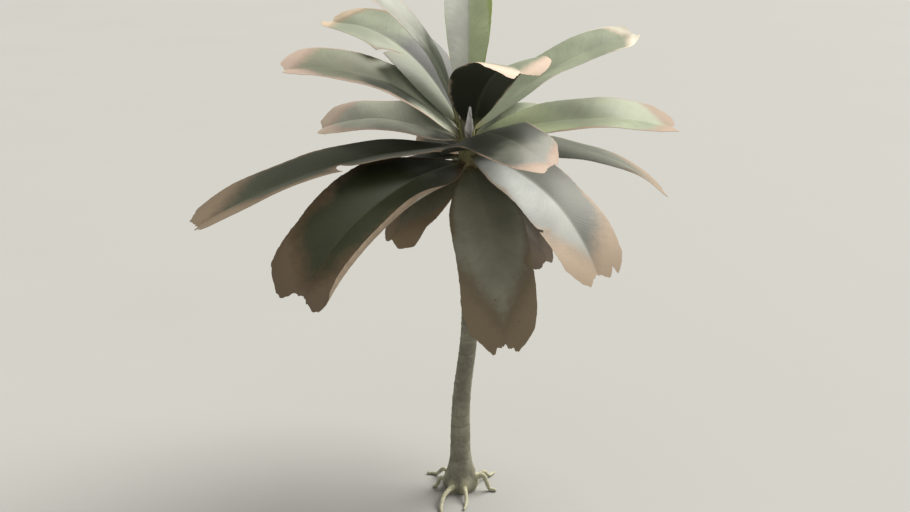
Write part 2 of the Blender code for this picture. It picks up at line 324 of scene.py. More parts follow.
def bark_finish():
    """Grey-olive bark: mottled, with pale lichen, dark scar lines, a cream-green foot over the roots, and
    painted shade under the crown and in hollows.
    """
    finish = Finish("bark", Specular_IOR_Level=0.25)
    scarred, rooty, relief = finish.mark("bark")
    mottle = finish.cloud(finish.place(), 22.0, detail=5.0)
    grain = finish.cloud(finish.place(stretch=(1.0, 1.0, 0.16)), 190.0, detail=4.0)
    lichen = finish.cloud(finish.place(shift=(3.1, 0.0, 0.0)), 34.0, detail=4.0, rough=0.7)
    colour = finish.blend(finish.ease(mottle, 0.36, 0.66), BARK_SHADE, BARK_COLOUR)
    colour = finish.blend(finish.ease(lichen, 0.52, 0.72, 0.0, 0.55), colour, BARK_PALE)
    colour = finish.blend(finish.ease(grain, 0.30, 0.62, 0.35, 0.0), colour, BARK_SHADE)
    paled = finish.reckon("MULTIPLY", rooty, finish.ease(mottle, 0.30, 0.60, 0.45, 1.0))
    colour = finish.blend(finish.ease(paled, 0.25, 0.95), colour, FOOT_COLOUR)
    colour = finish.blend(finish.ease(scarred, 0.25, 1.0, 0.0, 0.55), colour, SCAR_COLOUR)
    # Painted shade: darker up the stem towards the crown.
    _, _, height = finish.parts(finish.place())
    colour = finish.blend(finish.ease(height, *CROWN_SHADE_HEIGHTS, 0.0, 0.60), colour, SCAR_COLOUR)
    # Painted shade in the bark's hollows: the deeper the relief, the darker.
    colour = finish.blend(finish.ease(relief, -0.75, 0.0, 0.45, 0.0), colour, BARK_SHADE)
    roughness = finish.ease(mottle, 0.3, 0.7, 0.72, 0.92)
    fine = finish.bump(grain, 0.0008, 0.8)
    return finish.done(colour, roughness, finish.bump(mottle, 0.0015, 0.5, fine))


stem = round_skin("stem_bark", STEM_RINGS, STEM_SIDES, wrap_stem, "bark")
stem.data.materials.append(bark_finish())
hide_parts("stem")
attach(stem, "root")

# ---------------------------------------------------------------- roots
# Short thick aerial roots of pale corky skin. Each grows out of a lobe of the swollen foot, arches a little
# and comes down to lie on the ground. They are round skins too, sunk a little way into the foot.

ROOT_TAPER = 0.55
ROOT_LEVEL = 0.12  # it runs level to this share of its length
ROOT_LANDING = 0.70  # and lies on the ground from this one
ROOT_RINGS = 90
ROOT_SIDES = 22
ROOT_SUNK = 0.016  # how far a root's skin starts inside the foot
ROOT_FLARE = 0.30  # how much thicker it is where it leaves the foot
ROOT_FLARE_SHARE = 0.10  # the share of its length that the flare dies away over
ROOT_TIP = 0.06  # the share of its length over which it rounds off
ROOT_STEP = 0.004  # the share of its length over which its direction is read
ROOT_LUMPS = 0.10  # shares of its thickness
ROOT_WRINKLES = 0.07
ROOT_LUMP_SCALE = 60.0
ROOT_DARKER_BELOW = 0.006  # below this height it turns darker towards the ground
GROUND_GAP = 0.0002

ROOT_COLOUR = (0.400, 0.390, 0.265)
ROOT_PALE = (0.560, 0.545, 0.410)
ROOT_SHADE = (0.170, 0.150, 0.095)


def root_finish():
    """Cream-green corky skin, browner in its wrinkles and darker towards the ground."""
    finish = Finish("root_skin", Specular_IOR_Level=0.3)
    along, wrinkled, low = finish.mark("skin")
    mottle = finish.cloud(finish.place(), 55.0, detail=4.0)
    grain = finish.cloud(finish.place(), 260.0, detail=3.0)
    colour = finish.blend(finish.ease(mottle, 0.35, 0.65), ROOT_COLOUR, ROOT_PALE)
    colour = finish.blend(finish.ease(wrinkled, 0.2, 1.0, 0.0, 0.55), colour, ROOT_SHADE)
    colour = finish.blend(finish.ease(low, 0.0, 1.0, 0.0, 0.60), colour, ROOT_SHADE)
    colour = finish.blend(finish.ease(grain, 0.35, 0.6, 0.25, 0.0), colour, ROOT_SHADE)
    return finish.done(colour, finish.ease(mottle, 0.3, 0.7, 0.6, 0.85), finish.bump(grain, 0.0006, 0.7))


def wrap_root(spec):
    """The function that wraps one root's skin round its path."""
    low_edge = spec["height"] - spec["radius"]
    start = max(stem_radius(z) for z in np.linspace(low_edge, spec["height"], 5)) + CLEARANCE
    sunk = ROOT_SUNK / (spec["reach"] - start)

    def middle(share):
        heading = np.radians(spec["azimuth"] + spec["sway"] * np.maximum(share, 0) ** 2)
        reach = start + (spec["reach"] - start) * share
        way_down = np.clip((share - ROOT_LEVEL) / (ROOT_LANDING - ROOT_LEVEL), 0.0, 1.0)
        landed = smooth_step(way_down)
        arch = spec["arch"] * np.sin(math.pi * way_down) ** 2
        radius = spec["radius"] * (1.0 - ROOT_TAPER * np.maximum(share, 0))
        z = spec["height"] * (1.0 - landed) + (radius + CLEARANCE) * landed + arch
        return np.stack((reach * np.cos(heading), reach * np.sin(heading), z), axis=-1), radius

    def wrap(portion, angle):
        share = portion * (1.0 + sunk) - sunk
        points, radius = middle(share)
        ahead, _ = middle(share + ROOT_STEP)
        along = (ahead - points) / np.linalg.norm(ahead - points, axis=-1, keepdims=True)
        level = np.cross(along, (0.0, 0.0, 1.0))
        level /= np.linalg.norm(level, axis=-1, keepdims=True)
        upward = np.cross(level, along)
        into_tip = np.maximum(share - (1.0 - ROOT_TIP), 0.0) / ROOT_TIP
        rounded = np.sqrt(np.clip(1.0 - into_tip**2, 0.02, 1.0))
        flare = 1.0 + ROOT_FLARE * np.exp(-((np.maximum(share, 0.0) / ROOT_FLARE_SHARE) ** 2))
        around = level * np.cos(angle)[:, None] + upward * np.sin(angle)[:, None]
        lumps, wrinkles = np.zeros_like(share), np.zeros_like(share)
        for i, spot in enumerate(points + around * radius[:, None]):
            lumps[i] = noise.noise(Vector(spot) * ROOT_LUMP_SCALE)
            ring = Vector((share[i] * ROOT_LUMP_SCALE, spec["azimuth"], lumps[i] * 1.5))
            wrinkles[i] = max(0.0, noise.noise(ring))
        thick = radius * rounded * flare * (1.0 + ROOT_LUMPS * lumps - ROOT_WRINKLES * wrinkles)
        skin = points + around * thick[:, None]
        skin[:, 2] = np.maximum(skin[:, 2], GROUND_GAP)
        low = np.clip(1.0 - skin[:, 2] / ROOT_DARKER_BELOW, 0.0, 1.0)
        return skin, np.stack((share, wrinkles * 2.0, low), axis=-1)

    return wrap


root_skin = root_finish()
for name, spec in ROOTS.items():
    piece = round_skin(name + "_skin", ROOT_RINGS, ROOT_SIDES, wrap_root(spec), "skin")
    piece.data.materials.append(root_skin)
    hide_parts(name)
    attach(piece, "root")

# ---------------------------------------------------------------- hanging leaves
# The oldest leaves, brown and limp, which hang round the stem. Every leaf of the palm is one undivided blade
# on a strong rib: a grid whose rows follow the side veins is laid on the leaf's curved surface and drawn out
# into a thin closed shell, thick at the rib and at the stalk, which is seated in the stem.

PETIOLE_WIDTH = 0.020
RIB_THICKNESS = 0.013  # at the leaf's foot, where it is a stalk
RIB_HALF_WIDTH = 0.0035  # at the leaf's end
BLADE_THICKNESS = 0.0010
RIB_END_SHARE = 0.91
RIB_ABOVE = (0.04, 0.35)  # how much of its depth is above the blade: along the blade, and at the stalk
RIB_BELOW = (0.45, 0.60)
RIB_CHANNEL = 0.5  # the depth of the groove along its top, to the ridge's height
KEEL_SPREAD = 1.5  # to the rib's half width
KEEL_SHARPNESS = (1.6, 0.6)  # along the blade, and at the stalk
OPENING_BLUNTNESS = 1.8
END_SHARE = 0.74
NOTCH_SPAN = 0.42
CORNER_START = 0.45
VEIN_SLANT = 0.13  # how far the side veins run on towards the tip, as a share of the leaf's length
ROW_LENGTH = 0.0042  # along the leaf
ON_ROW = 0.00001  # as near as this, a point of the flat grid lies on a row
SLIT_HAIR = 0.0001  # how far each side of a slit is moved off its row, in the flat grid
LEAF_COLUMNS = 40
PLEAT_ROWS = 4  # rows of the grid to one pleat between side veins
PLEAT_HEIGHT = 0.00006
PLEATS_FROM = 0.020  # at this distance from the rib they have their full height
BLADE_WAVE = 0.0018
MARGIN_WAVE = 0.005
MARGIN_FRAY = 0.016  # share of the blade's half width
FINE_FRAY = 0.35  # of that
FRAY_WAVES = (2.3, 21.0)  # the slowest waves of the coarse and the fine fray, to the leaf's length
RAGGED_END = (0.010, 0.003)  # coarse and fine, shares of the leaf's length
RAGGED_WAVES = (0.9, 6.0)  # to half of the leaf's width
TIP_START = (0.8, 1.4)  # where the dried end begins, to its length: at the rib, and at the margins
DRY_UNEVEN = 0.45  # how much the width of the dried margin changes along it
DRYNESS_UNEVEN = 0.30
LEAST_DRY = 0.001  # every margin has at least this much dried skin
TEAR_SPREAD = 0.09  # the share of the rows to either side that a tear pulls apart
TEAR_SAG = 0.15  # how far the two lips of a tear stand out of line, to the width of its gap
TEAR_REACH = 0.100  # half of a blade's width, as the dried skin inward of a tear is reckoned
CURL_RAMP = 0.35  # the share of a curl's length that it takes to roll up, and to open again
LEAST_BEND = 0.001  # a margin bent by less is taken as flat
LEAF_SEAT = 0.008  # how far the stalk reaches into the stem
SEAT_SHARE = 0.04  # the share of the leaf that is drawn into its seat


def leaf(azimuth, foot, rise, fall, length, width=0.235, **more):
    """The values that place and shape one leaf, the same as its solid's.

    It starts at rise degrees above the horizon and turns down by fall degrees over its length, late in it
    where late is large. roll and twist turn the blade about its rib, sway bends the rib sideways, fold lifts
    the two halves to a gutter, and arch lets their margins down again. The blade is fully open from the
    share opened on. It narrows by taper at its end, which is cut back by notch at the rib and by corner at
    the sides.
    """
    made = dict(late=1.4, roll=0.0, twist=0.0, sway=0.0, fold=16.0, arch=0.10)
    made.update(opened=0.40, taper=0.26, notch=0.05, corner=0.10)
    made.update(azimuth=azimuth, foot=foot, rise=rise, fall=fall, length=length, width=width)
    made.update(more)
    return made


def wear(face, under, dry=0.016, tip=0.10, tears=(), clefts=(), curls=(), tip_bend=(0.9, 0.0), **more):
    """The colours of one leaf and what has happened to it since it opened.

    face and under are the colours of its upper and lower skin, margin and edge those of its dried skin,
    inner and outermost; on some leaves these carry painted shade or painted light as well as the leaf's own
    colour. dry is the width of the dried margin in metres, worn how dry it is near the stem, sides how much
    of it each half has, the half at negative u first, and tip the share of the leaf's length that has dried
    from the end. Each tear is a slit along a side vein: (side, share along, depth, gap). Each cleft is a
    split of
    the end: (place across, depth, width). Each curl rolls a stretch of one margin up, or down where its
    angle is negative: (side, from, to, start across, degrees). tip_bend turns the end down from that share
    on. Each painted light patch is a stretch of the upper skin painted lighter or darker for the light,
    shade or sheen on it: (side, or 0 for both, from, to, colour).
    """
    made = dict(face=face, under=under, dry=dry, tip=tip, tears=tears, clefts=clefts, curls=curls)
    made.update(margin=(0.42, 0.32, 0.22), edge=(0.66, 0.53, 0.41), stalk=(0.26, 0.25, 0.12))
    made.update(tip_bend=tip_bend, gloss=0.48, specks=0.45, worn=0.85, sides=(1.0, 1.0), patches=())
    made.update(wave=MARGIN_WAVE, slant=VEIN_SLANT)
    made.update(more)
    made.setdefault("under_margin", made["margin"])
    made.setdefault("under_edge", made["edge"])
    return made


class Rib:
    """The curved line of a leaf's rib, with the directions along it, across the blade and out of it."""

    SAMPLES = 65
    FOOT_SAMPLE = 3  # where the direction out of the stalk's foot is read

    def __init__(self, spec, tip_bend):
        t = np.linspace(0.0, 1.0, self.SAMPLES)
        bent = np.clip((t - tip_bend[0]) / (1.0 - tip_bend[0]), 0.0, 1.0) ** 2 * tip_bend[1]
        slope = np.radians(spec["rise"] - spec["fall"] * t ** spec["late"] - bent)
        heading = np.radians(spec["azimuth"] + spec["sway"] * t * t)
        along = np.stack(
            (np.cos(slope) * np.cos(heading), np.cos(slope) * np.sin(heading), np.sin(slope)), axis=1
        )
        steps = (along[1:] + along[:-1]) / 2 * spec["length"] / (self.SAMPLES - 1)
        across = np.stack((-np.sin(heading), np.cos(heading), np.zeros_like(t)), axis=1)
        out = np.cross(along, across)
        roll = np.radians(spec["roll"] + spec["twist"] * t)[:, None]
        self.t = t
        self.along = along
        self.across = across * np.cos(roll) + out * np.sin(roll)
        self.out = out * np.cos(roll) - across * np.sin(roll)
        self.points = self.foot(spec) + np.vstack((np.zeros(3), np.cumsum(steps, axis=0)))

    def foot(self, spec):
        """Where the middle of the stalk's cut end stands, with its edge just clear of the round stem."""
        heading = math.radians(spec["azimuth"])
        away = np.array((math.cos(heading), math.sin(heading), 0.0))
        beside = np.array((-math.sin(heading), math.cos(heading), 0.0))
        reach = 0.0
        shares = (-0.5, -0.25, 0.0, 0.25, 0.5)
        for u, v in itertools.product(shares, shares):
            edge = self.across[0] * u * PETIOLE_WIDTH + self.out[self.FOOT_SAMPLE] * v * RIB_THICKNESS
            clear_radius = stem_radius(spec["foot"] + edge[2]) + CLEARANCE
            reach = max(reach, math.sqrt(clear_radius**2 - (edge @ beside) ** 2) - edge @ away)
        return stem_centre(spec["foot"]) + away * reach

    def read(self, rows, t):
        """One of the rib's own rows of vectors, read at t along the leaf."""
        return np.stack([np.interp(t, self.t, rows[:, k]) for k in range(3)], axis=-1)


def wobble(at, seed, slowest, count=6):
    """A smooth random curve of about -1 to 1, read at each number of at."""
    dice = np.random.default_rng(seed)
    total = np.zeros_like(at)
    for k in range(count):
        total += np.sin(at * slowest * 1.7**k * 2 * math.pi + dice.uniform(0, 2 * math.pi)) / 1.5**k
    return total / 1.9


def opened_share(spec, t):
    """How far the wedge-shaped foot of the blade has opened at t along the leaf, from 0 to 1."""
    return 1.0 - np.maximum(0.0, 1.0 - t / spec["opened"]) ** OPENING_BLUNTNESS


def half_width(spec, t):
    """Half of the blade's width at t along the leaf."""
    narrowed = 1.0 - spec["taper"] * np.maximum(0.0, (t - END_SHARE) / (1.0 - END_SHARE)) ** 2
    return (PETIOLE_WIDTH + (spec["width"] - PETIOLE_WIDTH) * opened_share(spec, t) * narrowed) / 2


def end_of(spec, u):
    """How far along the leaf the line at u across it runs: short at the notch and at the corners."""
    notch = spec["notch"] * np.maximum(0.0, 1.0 - abs(u) / NOTCH_SPAN)
    corner = spec["corner"] * np.maximum(0.0, (abs(u) - CORNER_START) / (1.0 - CORNER_START)) ** 2
    return 1.0 - notch - corner


def pull_tears(spec, look, u, row):
    """How far the tears move each point along the leaf and out of the blade, and how far off they are."""
    moved, lifted, to_tear = np.zeros_like(row), np.zeros_like(row), np.full_like(row, 1.0)
    for side, at, depth, gap in look["tears"]:
        opening = np.clip((u * side - (1 - depth)) / depth, 0.0, 1.0)
        nearness = np.maximum(0.0, 1.0 - abs(row - at) / TEAR_SPREAD)
        moved += np.sign(row - at) * gap / 2 / spec["length"] * opening**0.8 * nearness
        lifted -= np.sign(row - at) * TEAR_SAG * gap * opening * nearness**2
        short_of_it = np.maximum(0.0, (1 - depth) - u * side) * TEAR_REACH
        to_tear = np.minimum(to_tear, abs(row - at) * spec["length"] + short_of_it)
    return moved, lifted, to_tear


def roll_curls(spec, look, u, t, half):
    """How far the curls carry each point across the blade, off the rib, and out of the blade."""
    across, upwards = np.zeros_like(t), np.zeros_like(t)
    for side, first, last, start, degrees in look["curls"]:
        ramp = CURL_RAMP * (last - first)
        rolled = smooth_step((t - first) / ramp) * smooth_step((last - t) / ramp)
        span = np.maximum(abs(u) - start, 0.0) * half * (u * side > 0)
        bend = math.radians(degrees) * rolled / ((1 - start) * half)
        bend = np.where(abs(bend) > LEAST_BEND, bend, LEAST_BEND)
        inward = np.sin(span * bend) / bend - span
        upward = (1 - np.cos(span * bend)) / bend
        lean = math.radians(spec["fold"]) - math.atan(2 * spec["arch"] * start)
        across += inward * math.cos(lean) - upward * math.sin(lean)
        upwards += inward * math.sin(lean) + upward * math.cos(lean)
    return across, upwards


def blade_surface(spec, look, seed, u, row):
    """The leaf's middle surface at u across it, from -1 to 1, and at this row of side veins, from 0 to 1.

    Returns the points, how far along the leaf each lies, and how far from the rib and from the nearest edge.
    """
    side, off = np.sign(u), abs(u)
    rib = Rib(spec, look["tip_bend"])
    ragged = RAGGED_END[0] * (1 + wobble(u, seed, RAGGED_WAVES[0]))
    ragged += RAGGED_END[1] * wobble(u, seed + 1, RAGGED_WAVES[1])
    for place, depth, width in look["clefts"]:
        ragged += depth * np.maximum(0.0, 1.0 - abs(u - place) / width)
    moved, lifted, to_tear = pull_tears(spec, look, u, row)
    t = end_of(spec, u) * (row + look["slant"] * off * 4 * row * (1 - row)) - ragged * row**8
    t = np.clip(t + moved, 0.0, 1.0)
    opened = opened_share(spec, t)
    coarse, fine = FRAY_WAVES
    frayed = np.where(u > 0, wobble(t, seed + 2, coarse), wobble(t, seed + 3, coarse))
    frayed = frayed + FINE_FRAY * np.where(u > 0, wobble(t, seed + 4, fine), wobble(t, seed + 5, fine))
    half = half_width(spec, t) * (1.0 + MARGIN_FRAY * frayed * opened * off**3)
    fold = math.radians(spec["fold"])
    beside = off * half * math.cos(fold)
    lift = half * opened * (off * math.sin(fold) - spec["arch"] * u * u)
    waves = np.where(u > 0, wobble(t, seed + 6, 1.1, 3), wobble(t, seed + 7, 1.1, 3))
    lift += look["wave"] * opened * off**2 * waves
    pleats = np.cos(row * round(spec["length"] / ROW_LENGTH) / PLEAT_ROWS * 2 * math.pi)
    lift += PLEAT_HEIGHT * opened * np.clip(off * half / PLEATS_FROM, 0, 1) * pleats * (1 - row**6)
    lift += BLADE_WAVE * opened * wobble(t * 1.3 + u * 0.35, seed + 8, 1.3, 2) + lifted
    carried, raised = roll_curls(spec, look, u, t, half)
    beside += carried
    lift += raised
    seat = LEAF_SEAT * np.maximum(0.0, 1.0 - t / SEAT_SHARE) ** 2
    points = (
        rib.read(rib.points, t)
        + rib.read(rib.across, t) * (side * beside)[:, None]
        + rib.read(rib.out, t) * lift[:, None]
        - rib.read(rib.along, t) * seat[:, None]
    )
    to_side = (1.0 - off) * half
    to_end = (end_of(spec, u) - ragged - t) * spec["length"]
    return points, t, off * half, np.minimum(np.minimum(to_side, to_end), to_tear)


def cut_tears(bm, tears, rows):
    """Slits the flat grid along its rows, and parts each slit by a hair to tell its two sides apart."""
    for side, at, depth, _ in tears:
        x = round(at * rows) / rows - 0.5
        edges = []
        for edge in bm.edges:
            if all(abs(vert.co.x - x) < ON_ROW and 2 * vert.co.y * side > 1 - depth for vert in edge.verts):
                edges.append(edge)
        bmesh.ops.split_edges(bm, edges=edges)
        for vert in bm.verts:
            if abs(vert.co.x - x) < ON_ROW and 2 * vert.co.y * side > 1 - depth:
                ahead = {face.calc_center_median().x > x for face in vert.link_faces}
                if len(ahead) == 1:
                    vert.co.x += SLIT_HAIR if ahead.pop() else -SLIT_HAIR


def spread(v):
    """Columns brought closer together at the rib and at the margins."""
    return np.sign(v) * (0.45 * abs(v) + 0.55 * v * v * (3 - 2 * abs(v)))


def dried_share(look, seed, u, t, from_edge):
    """How far the skin has dried, from 0 to 1: along the margins, by a torn edge, and at the leaf's end."""
    patchy = np.where(u > 0, wobble(t, seed + 9, 1.4, 4), wobble(t, seed + 10, 1.4, 4))
    wide = look["dry"] * (0.25 + 0.75 * smooth_step(t * 1.6)) * (1 + DRY_UNEVEN * patchy)
    wide = np.maximum(LEAST_DRY, wide * np.where(u > 0, look["sides"][1], look["sides"][0]))
    dryness = np.clip(look["worn"] + (1 - look["worn"]) * t**2 + DRYNESS_UNEVEN * patchy, 0.0, 1.0)
    at_edge = dryness * np.clip(1.0 - from_edge / wide, 0.0, 1.0)
    tip_starts = 1 - look["tip"] * between(TIP_START, abs(u))
    at_tip = 1.15 * smooth_step((t - tip_starts) / look["tip"])
    return np.minimum(1.0, np.maximum(at_edge, at_tip))


def rib_half_width(t):
    """Half of the rib's width at t along the leaf."""
    return RIB_HALF_WIDTH + (PETIOLE_WIDTH / 2 - RIB_HALF_WIDTH) * (1 - t) ** 3


def skins_apart(t, from_rib, stalk):
    """How far the leaf's upper and lower skins stand off its middle surface.

    The rib is a keel below the blade and a low ridge above it, with a channel along its top. Towards the
    stalk both sides grow round.
    """
    depth = RIB_THICKNESS * np.maximum(0.0, 1.0 - t / RIB_END_SHARE) ** 1.25
    sharpness = between(KEEL_SHARPNESS, stalk)
    keel = np.clip(1.0 - (from_rib / (rib_half_width(t) * KEEL_SPREAD)) ** 2, 0.0, 1.0) ** sharpness
    channel = RIB_CHANNEL * np.exp(-((from_rib / (0.45 * rib_half_width(t))) ** 2))
    above = BLADE_THICKNESS / 2 + depth * keel * between(RIB_ABOVE, stalk) * (1 - channel)
    below = BLADE_THICKNESS / 2 + depth * keel * between(RIB_BELOW, stalk)
    return above, below


def make_blade(name, spec, look, seed):
    """The thin closed shell of one leaf, with the numbers that its colours follow."""
    rows = round(spec["length"] / ROW_LENGTH)
    look = dict(look, tears=[(s, round(at * rows) / rows, d, gap) for s, at, d, gap in look["tears"]])
    bm = bmesh.new()
    bmesh.ops.create_grid(bm, x_segments=rows, y_segments=LEAF_COLUMNS, size=0.5)
    cut_tears(bm, look["tears"], rows)
    grid = np.array([vert.co for vert in bm.verts], float)
    row, u = grid[:, 0] + 0.5, spread(grid[:, 1] * 2)
    points, t, from_rib, from_edge = blade_surface(spec, look, seed, u, row)

    stalk = np.clip(1.0 - opened_share(spec, t) * 2.2, 0.0, 1.0)
    dried = dried_share(look, seed, u, t, from_edge)
    on_rib = np.exp(-((from_rib / rib_half_width(t)) ** 2)) * smooth_step((RIB_END_SHARE + 0.05 - t) / 0.2)
    above, below = skins_apart(t, from_rib, stalk)
    blade = bm.verts.layers.float_vector.new("blade")
    marks = bm.verts.layers.float_vector.new("wear")
    sizes = bm.verts.layers.float_vector.new("sizes")
    for i, vert in enumerate(bm.verts):
        vert.co = points[i]
        vert[blade] = (u[i] * spec["width"] / 2, row[i] * spec["length"], t[i])
        vert[marks] = (dried[i], on_rib[i], stalk[i])
        vert[sizes] = (above[i], below[i], 0.0)
    bm.normal_update()
    normals = {vert.index: vert.normal.copy() for vert in bm.verts}
    facing = bm.verts.layers.float_vector.new("facing")
    for vert in bm.verts:
        vert[facing] = normals[vert.index]
    lower = list(bm.faces)
    grown = bmesh.ops.extrude_face_region(bm, geom=lower, use_keep_orig=True)["geom"]
    upper_verts = {item for item in grown if isinstance(item, bmesh.types.BMVert)}
    upper_faces = {item for item in grown if isinstance(item, bmesh.types.BMFace)}
    for vert in bm.verts:
        if vert in upper_verts:
            vert.co += vert[facing] * vert[sizes].x
        else:
            vert.co -= vert[facing] * vert[sizes].y
    for face in lower:
        face.material_index = 1
    # The wall between the two skins comes in no fixed order, so its faces are put in one.
    bm.faces.index_update()
    joining = set(bm.faces) - set(lower) - upper_faces
    for place, face in enumerate(sorted(joining, key=lambda face: tuple(face.calc_center_median()))):
        face.index = 2 * len(lower) + place
    bm.faces.sort()
    bmesh.ops.recalc_face_normals(bm, faces=bm.faces)
    outward = sum(face.normal.dot(face.verts[0][facing]) for face in upper_faces)
    if outward < 0:
        bmesh.ops.reverse_faces(bm, faces=bm.faces)
    bm.verts.layers.float_vector.remove(bm.verts.layers.float_vector["sizes"])
    bm.verts.layers.float_vector.remove(bm.verts.layers.float_vector["facing"])
    return finished_mesh(name, bm, sharp_over=50.0)


VEIN_COLOUR = (0.020, 0.030, 0.010)
SPECK_COLOUR = (0.055, 0.040, 0.025)
CLOUD_SCALE = 7.0
FRAY_SCALE = 48.0
SPECK_SCALE = 130.0
VEIN_SCALES = (9.0, 170.0, 1.0)  # across the leaf, along it
STRAND_SCALES = (150.0, 6.0, 1.0)
FRAY = 0.55  # how unevenly the dried skin ends
PAINTED_PATCH_SOFTNESS = 0.09  # shares of the leaf's length
PAINTED_PATCH_DRIFT = 0.08
PAINTED_PATCH_AT_RIB = (-0.008, 0.012)  # metres across the rib over which a patch of one half begins
UPPER_VEINS = 0.0002
UNDER_VEINS = 0.0004
UNDER_GLOSS = 0.62


def leaf_finish(name, look, seed, colour, gloss, veins, patches, margin, edge):
    """Waxy leaf skin: fine slanting veins, cloudy green, a dried margin of tan and cream, brown specks, and
    patches of painted light, shade and sheen.
    """
    finish = Finish(name, Specular_IOR_Level=0.38, Coat_Weight=0.06, Coat_Roughness=0.45)
    across, vein, along = finish.mark("blade")
    dried, on_rib, stalk = finish.mark("wear")
    blade = finish.together(across, vein, float(seed))
    cloud = finish.cloud(finish.place(shift=(seed * 0.37, 0.0, 0.0)), CLOUD_SCALE, detail=3.0)
    fray = finish.cloud(finish.place(shift=(0.0, seed * 0.53, 0.0)), FRAY_SCALE, detail=4.0, rough=0.65)
    streaks = finish.cloud(finish.place(stretch=VEIN_SCALES, of=blade), 1.0, detail=3.0)
    strands = finish.cloud(finish.place(stretch=STRAND_SCALES, of=blade), 1.0, detail=2.0)

    def clouded(tint):
        """A colour that is darker and lighter in clouds."""
        dark = tuple(channel * 0.84 for channel in tint)
        light = tuple(min(1.0, channel * 1.14) for channel in tint)
        return finish.blend(finish.ease(cloud, 0.32, 0.68), dark, light)

    green = clouded(colour)
    drifting = finish.reckon("ADD", along, finish.ease(cloud, 0.2, 0.8, -PAINTED_PATCH_DRIFT, PAINTED_PATCH_DRIFT))
    # Painted light and shade: each patch paints a stretch of the upper skin lighter or darker.
    for side, first, last, tint in patches:
        begun = finish.ease(drifting, first - PAINTED_PATCH_SOFTNESS, first + PAINTED_PATCH_SOFTNESS)
        not_over = finish.ease(drifting, last - PAINTED_PATCH_SOFTNESS, last + PAINTED_PATCH_SOFTNESS, 1.0, 0.0)
        share = finish.reckon("MULTIPLY", begun, not_over)
        if side:
            to_side = finish.reckon("MULTIPLY", across, float(side))
            share = finish.reckon("MULTIPLY", share, finish.ease(to_side, *PAINTED_PATCH_AT_RIB))
        green = finish.blend(share, green, clouded(tint))
    green = finish.blend(finish.ease(streaks, 0.30, 0.70, 0.10, 0.0), green, VEIN_COLOUR)
    pale_rib = tuple(0.5 * a + 0.5 * b for a, b in zip(colour, look["stalk"]))
    green = finish.blend(finish.ease(on_rib, 0.25, 0.95, 0.0, 0.14), green, pale_rib)
    green = finish.blend(finish.ease(stalk, 0.2, 1.0, 0.0, 0.80), green, look["stalk"])
    uneven = finish.reckon("MULTIPLY", finish.reckon("SUBTRACT", fray, 0.5), FRAY)
    dryness = finish.reckon("ADD", dried, uneven)
    worn = finish.blend(finish.ease(dryness, 0.10, 0.70), green, margin)
    worn = finish.blend(finish.ease(dryness, 0.55, 1.0), worn, edge)
    browned = finish.cloud(finish.place(shift=(0.0, 0.0, seed * 0.71)), SPECK_SCALE, detail=2.0)
    specked = finish.reckon("ADD", browned, finish.ease(fray, 0.4, 0.8, 0.0, 0.10))
    worn = finish.blend(finish.ease(specked, 0.735, 0.80, 0.0, look["specks"]), worn, SPECK_COLOUR)
    dulled = finish.ease(dried, 0.1, 1.0, 0.0, 0.20)
    roughness = finish.reckon("ADD", finish.ease(cloud, 0.3, 0.7, gloss, gloss + 0.08), dulled)
    fine = finish.bump(streaks, veins, 0.7)
    fine = finish.bump(strands, veins * 0.6, 0.5, fine)
    return finish.done(worn, roughness, finish.bump(fray, 0.0010, 0.35, fine))


def dress_leaf(name, spec, look, seed):
    """One leaf in place of its solid: the shell, its upper and lower skins, and what it rides on."""
    piece = make_blade(name + "_blade", spec, look, seed)
    upper = (look["face"], look["gloss"], UPPER_VEINS, look["patches"], look["margin"], look["edge"])
    under = (look["under"], UNDER_GLOSS, UNDER_VEINS, (), look["under_margin"], look["under_edge"])
    piece.data.materials.append(leaf_finish(name + "_upper", look, seed, *upper))
    piece.data.materials.append(leaf_finish(name + "_under", look, seed, *under))
    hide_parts(name)
    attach(piece, "root")
    return piece


